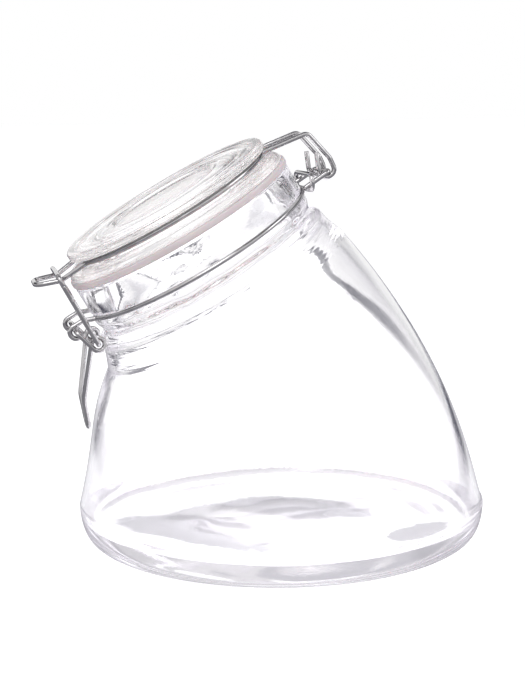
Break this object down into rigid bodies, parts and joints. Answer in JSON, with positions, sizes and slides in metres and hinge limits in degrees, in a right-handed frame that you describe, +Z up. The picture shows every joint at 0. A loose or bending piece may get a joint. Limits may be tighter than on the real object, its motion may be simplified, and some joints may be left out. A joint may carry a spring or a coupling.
{
  "type": "lidded glass canister",
  "caption": "Round glass storage jar with a slanted mouth, closed by a glass lid on a rubber ring, with a wire hinge and an over-centre wire lever latch.",
  "frame": {"origin": "centre of the face that the jar stands on", "axes": "+Z up, +X towards the hinge, so the mouth leans towards -X and the latch is at -X; the XZ plane is the plane of symmetry"},
  "size_m": [0.2049, 0.1872, 0.1825],
  "materials": {
    "jar_glass": "clear soda-lime glass, fire polished, with slight waviness",
    "lid_glass": "clear pressed glass with faint concentric mould rings",
    "seal_rubber": "translucent pale silicone rubber, matte",
    "wire_steel": "bright drawn spring wire"
  },
  "bodies": {
    "jar": {"jar_body": "jar_glass", "neck_band": "wire_steel", "band_tie": "wire_steel"},
    "lid": {"glass_lid": "lid_glass", "gasket_ring": "seal_rubber", "lid_bail": "wire_steel"},
    "lever": {"latch_lever": "wire_steel"},
    "link": {"latch_link": "wire_steel"}
  },
  "joints": [
    {"name": "lid_hinge", "type": "hinge", "parent": "jar", "child": "lid", "pos_m": [0.02087, 0, 0.16512], "axis": [0, 1, 0], "range_deg": [0, 200], "deforming": ["latch_link"]},
    {"name": "lever_pivot", "type": "hinge", "parent": "jar", "child": "lever", "pos_m": [-0.09379, 0, 0.09831], "axis": [0, 1, 0], "range_deg": [0, 130], "deforming": ["latch_link"]},
    {"name": "link_swing", "type": "hinge", "parent": "lever", "child": "link", "pos_m": [-0.08452, 0, 0.09279], "axis": [0, 1, 0], "range_deg": [-135, 0], "deforming": ["latch_link"]}
  ],
  "couplings": [
    {"joint": "link_swing", "follows": "lever_pivot", "ratio": -1}
  ]
}
